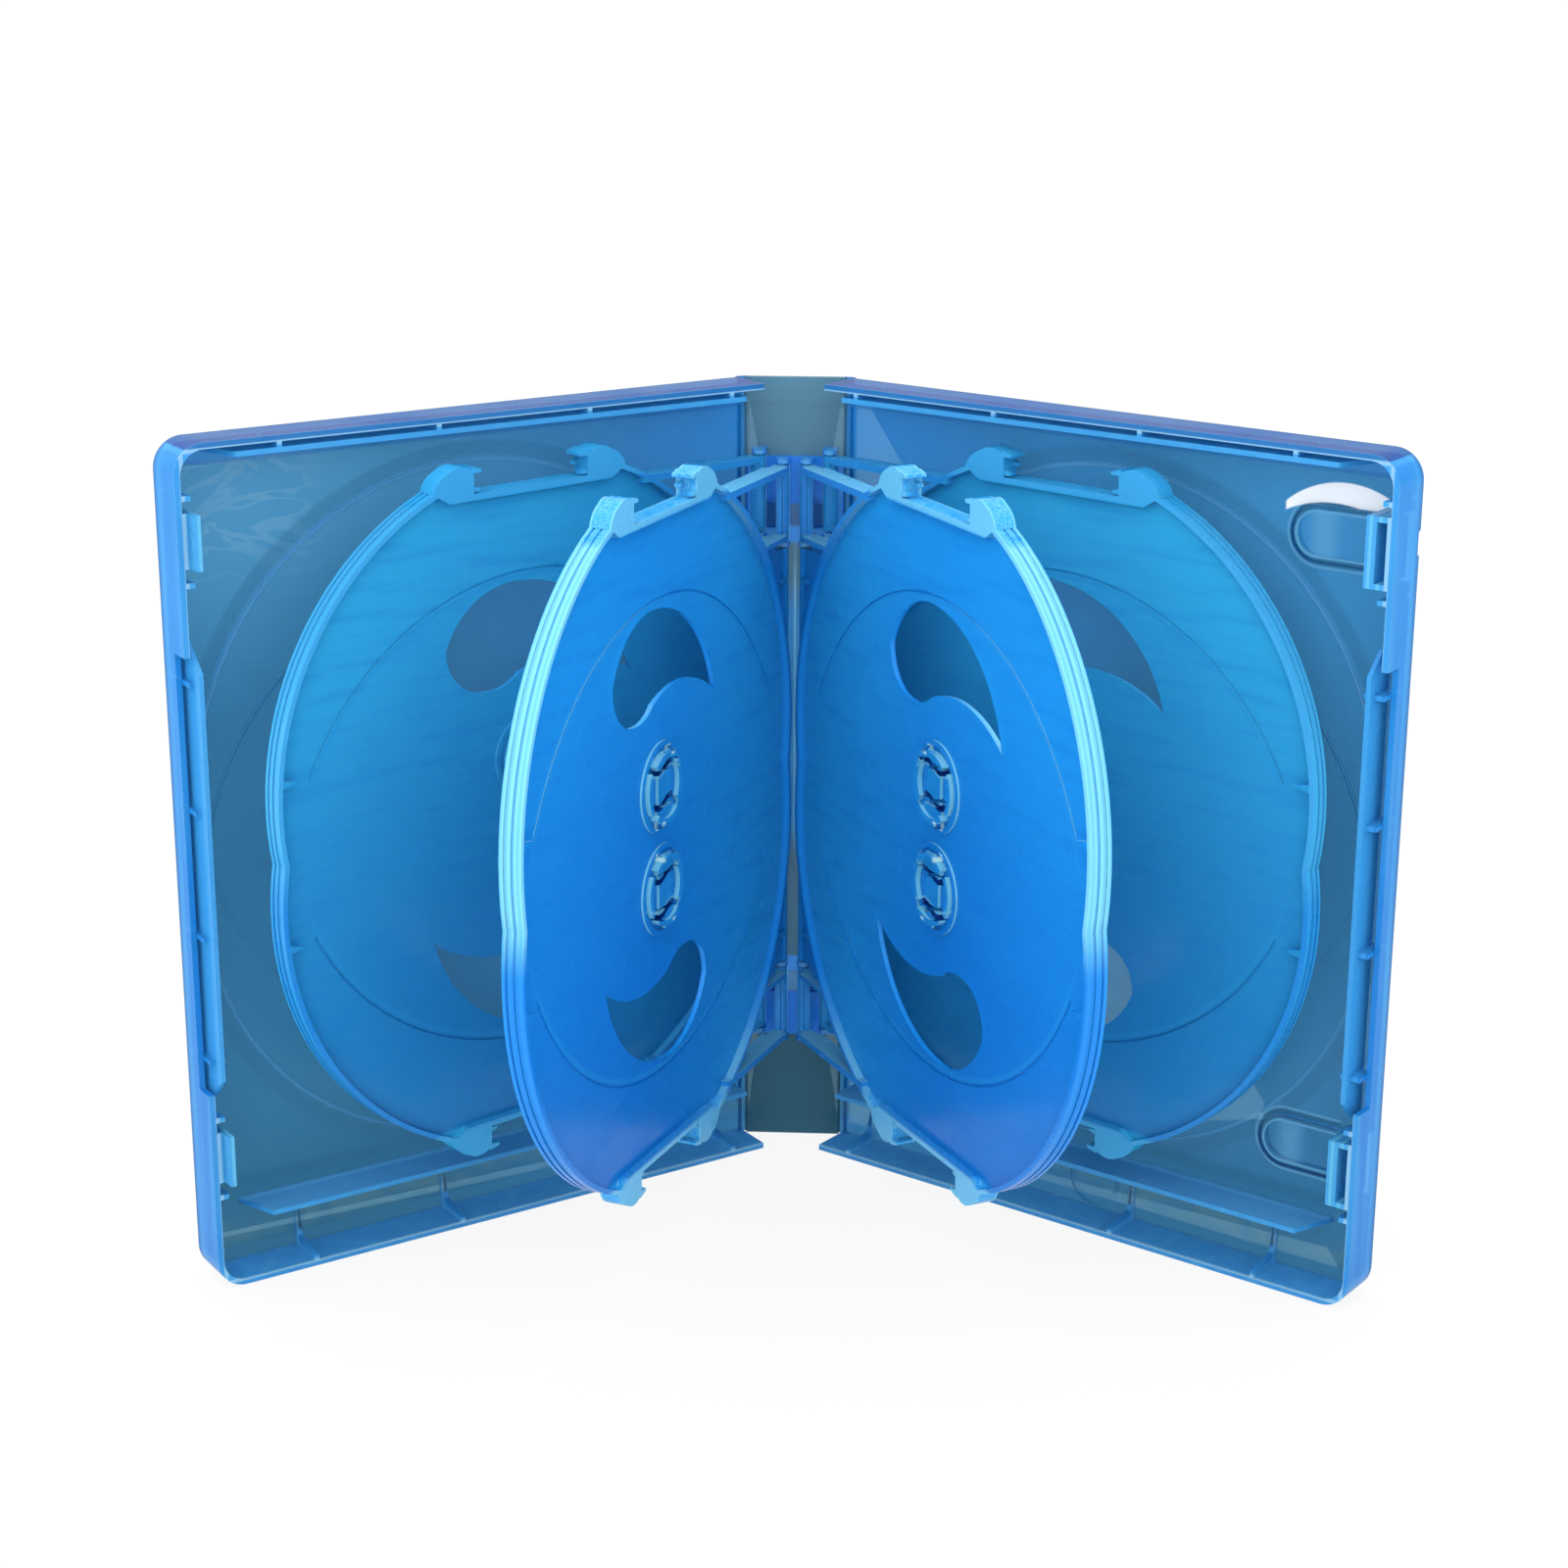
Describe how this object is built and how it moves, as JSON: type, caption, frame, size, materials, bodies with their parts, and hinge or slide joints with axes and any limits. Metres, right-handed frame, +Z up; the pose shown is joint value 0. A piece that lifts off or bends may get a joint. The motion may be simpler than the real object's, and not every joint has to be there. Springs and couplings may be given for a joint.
{
  "type": "multi-disc case",
  "caption": "Translucent blue hinged keep case for discs, standing open on its foot, with swing trays hung in the spine, hubs in the covers and a clear film sleeve.",
  "frame": {"origin": "middle of the spine's foot, where the upright case stands, on the plane of the two cover hinges", "axes": "+Z up along the spine, +X toward the right cover of the opened case, covers open toward -Y; rest pose is the opened case"},
  "size_m": [0.2368, 0.12, 0.1715],
  "materials": {
    "shell_blue": "translucent blue polypropylene, fine satin inside",
    "tray_blue": "translucent blue polypropylene, gloss",
    "clear_film": "clear film, gloss"
  },
  "bodies": {
    "spine": {"spine": "shell_blue", "spine_film": "clear_film"},
    "left_cover": {"left_cover": "shell_blue", "left_film": "clear_film"},
    "right_cover": {"right_cover": "shell_blue", "right_film": "clear_film"},
    "rear_left_tray": {"rear_left_tray": "tray_blue"},
    "front_left_tray": {"front_left_tray": "tray_blue"},
    "front_right_tray": {"front_right_tray": "tray_blue"},
    "rear_right_tray": {"rear_right_tray": "tray_blue"}
  },
  "joints": [
    {"name": "left_cover_hinge", "type": "hinge", "parent": "spine", "child": "left_cover", "pos_m": [-0.01125, 0, 0], "axis": [0, 0, -1], "range_deg": [-53.8, 36.2]},
    {"name": "right_cover_hinge", "type": "hinge", "parent": "spine", "child": "right_cover", "pos_m": [0.01125, 0, 0], "axis": [0, 0, 1], "range_deg": [-56.2, 33.8]},
    {"name": "rear_left_tray_hinge", "type": "hinge", "parent": "spine", "child": "rear_left_tray", "pos_m": [-0.00743, -0.0042, 0.09], "axis": [0, 0, -1], "range_deg": [-45.3, 30.5]},
    {"name": "front_left_tray_hinge", "type": "hinge", "parent": "spine", "child": "front_left_tray", "pos_m": [-0.00248, -0.0042, 0.09], "axis": [0, 0, -1], "range_deg": [-20.5, 13.8]},
    {"name": "front_right_tray_hinge", "type": "hinge", "parent": "spine", "child": "front_right_tray", "pos_m": [0.00248, -0.0042, 0.09], "axis": [0, 0, 1], "range_deg": [-28.5, 17.2]},
    {"name": "rear_right_tray_hinge", "type": "hinge", "parent": "spine", "child": "rear_right_tray", "pos_m": [0.00743, -0.0042, 0.09], "axis": [0, 0, 1], "range_deg": [-51.7, 31.1]}
  ],
  "couplings": [
    {"joint": "rear_left_tray_hinge", "follows": "left_cover_hinge", "ratio": 0.84015},
    {"joint": "front_left_tray_hinge", "follows": "left_cover_hinge", "ratio": 0.37918},
    {"joint": "front_right_tray_hinge", "follows": "right_cover_hinge", "ratio": 0.50534},
    {"joint": "rear_right_tray_hinge", "follows": "right_cover_hinge", "ratio": 0.91815}
  ]
}
